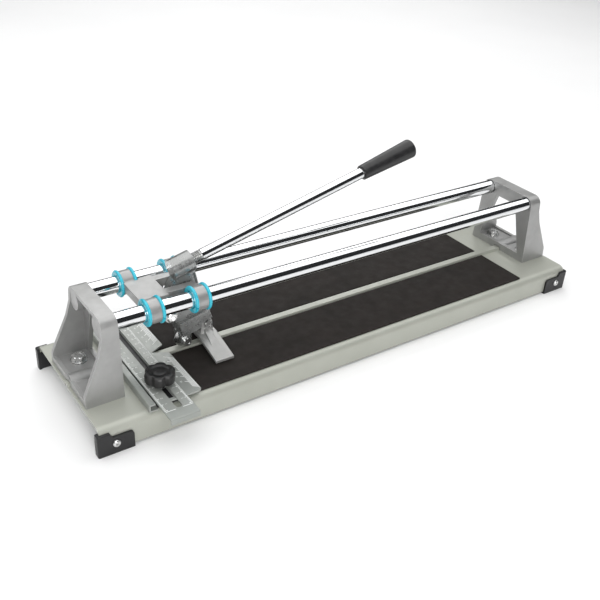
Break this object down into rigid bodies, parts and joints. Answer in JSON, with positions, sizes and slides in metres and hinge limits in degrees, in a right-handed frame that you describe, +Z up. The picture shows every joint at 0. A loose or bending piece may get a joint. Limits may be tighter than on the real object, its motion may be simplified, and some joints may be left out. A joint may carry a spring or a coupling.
{
  "type": "tile cutter",
  "caption": "Bench tile cutter: steel base with rubber mats, cast end supports, round rails and a sliding carriage whose lever scores and breaks tiles; ruler stop at one end.",
  "frame": {"origin": "on the floor under the middle of the folded base", "axes": "+X along the rails, from the gauge end to the far end; +Y towards the back; +Z up"},
  "size_m": [0.6764, 0.2057, 0.2245],
  "materials": {
    "base_paint": "satin grey-green enamel",
    "mat_rubber": "ribbed matt rubber",
    "foot_plastic": "moulded, fine texture",
    "cast_metal": "die cast, silver coated",
    "zinc_steel": "zinc plated",
    "chrome_steel": "polished chrome",
    "fence_steel": "light grey-green, printed scale",
    "bush_nylon": "cyan nylon",
    "knob_plastic": "moulded black",
    "grip_rubber": "soft black grip",
    "hard_alloy": "ground"
  },
  "bodies": {
    "frame": {"base_plate": "base_paint", "near_mat": "mat_rubber", "far_mat": "mat_rubber", "left_near_foot": "foot_plastic", "left_far_foot": "foot_plastic", "right_near_foot": "foot_plastic", "right_far_foot": "foot_plastic", "foot_screws": "zinc_steel", "left_support": "cast_metal", "right_support": "cast_metal", "support_bolts": "zinc_steel", "support_washers": "zinc_steel", "support_nuts": "zinc_steel", "near_rail": "chrome_steel", "far_rail": "chrome_steel", "guide_channel": "fence_steel", "guide_rivets": "zinc_steel", "fence_spacer": "knob_plastic", "gauge_plate": "fence_steel", "fence_screws": "zinc_steel", "fence_nuts": "zinc_steel", "clamp_stud": "zinc_steel"},
    "ruler": {"ruler_bar": "fence_steel"},
    "knob": {"clamp_washer": "zinc_steel", "clamp_knob": "knob_plastic"},
    "carriage": {"carriage_frame": "cast_metal", "bush_near_left_outer": "bush_nylon", "bush_near_left_inner": "bush_nylon", "bush_near_right_outer": "bush_nylon", "bush_near_right_inner": "bush_nylon", "bush_far_left_outer": "bush_nylon", "bush_far_left_inner": "bush_nylon", "bush_far_right_outer": "bush_nylon", "bush_far_right_inner": "bush_nylon", "pivot_bolt": "zinc_steel", "pivot_washers": "zinc_steel", "pivot_nut": "zinc_steel"},
    "lever": {"lever_arm": "cast_metal", "handle_rod": "chrome_steel", "grip": "grip_rubber", "wheel_axle": "zinc_steel", "axle_nut": "zinc_steel", "breaker_bolt": "zinc_steel", "breaker_nut": "zinc_steel"},
    "wheel": {"cutting_wheel": "hard_alloy"},
    "breaker": {"breaker_foot": "cast_metal"}
  },
  "joints": [
    {"name": "carriage_slide", "type": "slide", "parent": "frame", "child": "carriage", "axis": [1, 0, 0], "range_m": [-0.022, 0.434]},
    {"name": "lever_hinge", "type": "hinge", "parent": "carriage", "child": "lever", "pos_m": [-0.223, 0, 0.0905], "axis": [0, -1, 0], "range_deg": [0, 22]},
    {"name": "wheel_spin", "type": "hinge", "parent": "lever", "child": "wheel", "pos_m": [-0.2005, 0, 0.0458], "axis": [0, 1, 0], "continuous": true},
    {"name": "breaker_tilt", "type": "hinge", "parent": "lever", "child": "breaker", "pos_m": [-0.1755, 0, 0.0615], "axis": [0, 1, 0], "range_deg": [-6, 6]},
    {"name": "ruler_slide", "type": "slide", "parent": "frame", "child": "ruler", "axis": [0, 1, 0], "range_m": [-0.125, 0.027]},
    {"name": "knob_turn", "type": "hinge", "parent": "frame", "child": "knob", "pos_m": [-0.2553, -0.0553, 0.048], "axis": [0, 0, 1], "continuous": true}
  ]
}
